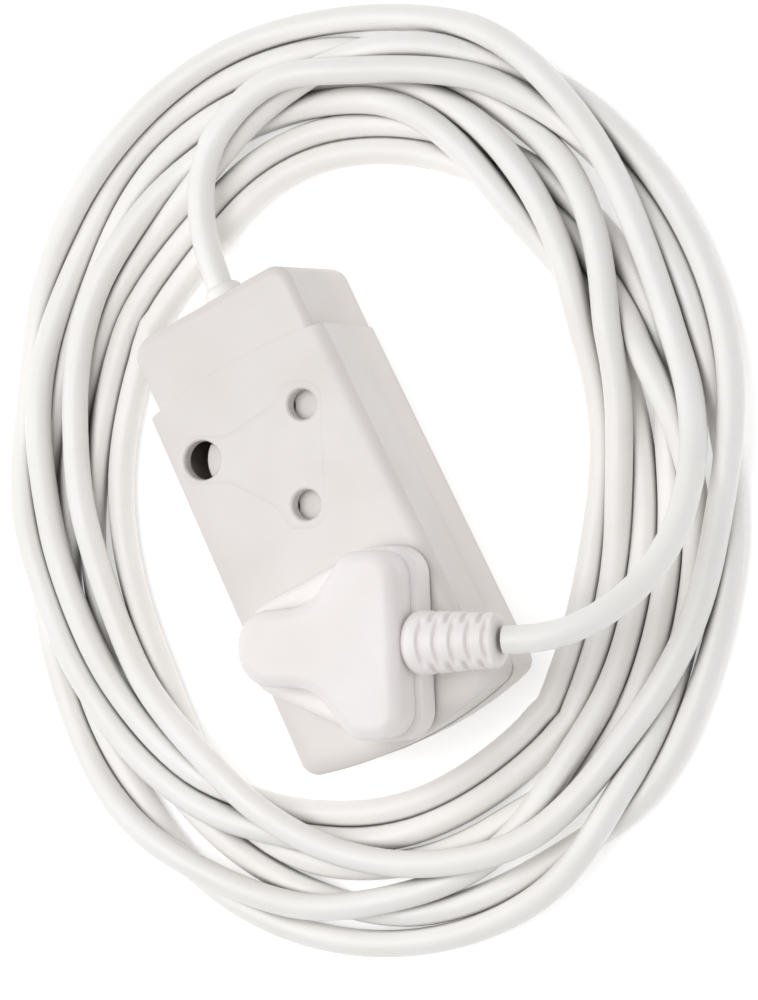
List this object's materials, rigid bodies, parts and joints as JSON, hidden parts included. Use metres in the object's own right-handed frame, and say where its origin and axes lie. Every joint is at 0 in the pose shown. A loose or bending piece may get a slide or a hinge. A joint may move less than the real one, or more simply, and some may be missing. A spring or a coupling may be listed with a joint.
{
  "type": "extension cord with two-way socket coupler",
  "caption": "White two-way three-pin socket coupler on a coiled mains cord, with the cord's own trefoil plug pushed into one of the sockets.",
  "frame": {"origin": "bottom centre of the coupler housing, on the surface it lies on, measured without the cord and plug", "axes": "+X across the coupler, +Y along the coupler toward the cord entry, +Z out of the socket face"},
  "size_m": [0.213, 0.2386, 0.0545],
  "materials": {
    "housing_white": "satin moulded, slightly warm white",
    "shutter_white": "plain moulded",
    "plug_white": "satin moulded PVC",
    "cord_white": "soft satin PVC sheath",
    "contact_brass": "drawn brass",
    "screw_steel": "zinc plated",
    "live_brown": "insulation",
    "neutral_blue": "insulation",
    "earth_green": "insulation, green with a yellow stripe"
  },
  "bodies": {
    "coupler": {"base_shell": "housing_white", "cap_screw_1": "screw_steel", "cap_screw_2": "screw_steel", "case_screw_1": "screw_steel", "case_screw_2": "screw_steel", "case_screw_3": "screw_steel", "case_screw_4": "screw_steel", "clamp_screw_1": "screw_steel", "clamp_screw_2": "screw_steel", "cord_clamp": "housing_white", "cord_coil": "cord_white", "cord_end_cap": "housing_white", "cord_grommet": "cord_white", "cord_lead": "cord_white", "cord_tail": "cord_white", "earth_bar": "contact_brass", "earth_sleeve_1": "contact_brass", "earth_sleeve_2": "contact_brass", "earth_terminal_screw": "screw_steel", "earth_wire": "earth_green", "live_bar": "contact_brass", "live_sleeve_1": "contact_brass", "live_sleeve_2": "contact_brass", "live_terminal_screw": "screw_steel", "live_wire": "live_brown", "neutral_bar": "contact_brass", "neutral_sleeve_1": "contact_brass", "neutral_sleeve_2": "contact_brass", "neutral_terminal_screw": "screw_steel", "neutral_wire": "neutral_blue", "shutter_2": "shutter_white", "shutter_cage_1": "shutter_white", "shutter_cage_2": "shutter_white", "shutter_spring_1": "screw_steel", "shutter_spring_2": "screw_steel", "socket_cover": "housing_white"},
    "plug": {"plug_base": "plug_white", "plug_boot": "plug_white", "plug_cover": "plug_white", "plug_earth_pin": "contact_brass", "plug_live_pin": "contact_brass", "plug_neutral_pin": "contact_brass"},
    "upper_shutter": {"shutter_1": "shutter_white"}
  },
  "joints": [
    {"name": "plug_pull", "type": "slide", "parent": "coupler", "child": "plug", "axis": [0, 0, 1], "range_m": [0, 0.032]},
    {"name": "shutter_slide", "type": "slide", "parent": "coupler", "child": "upper_shutter", "axis": [0.9138, -0.4061, 0], "range_m": [0, 0.0074], "stiffness_N_per_m": 60, "deforming": ["shutter_spring_1"]}
  ]
}
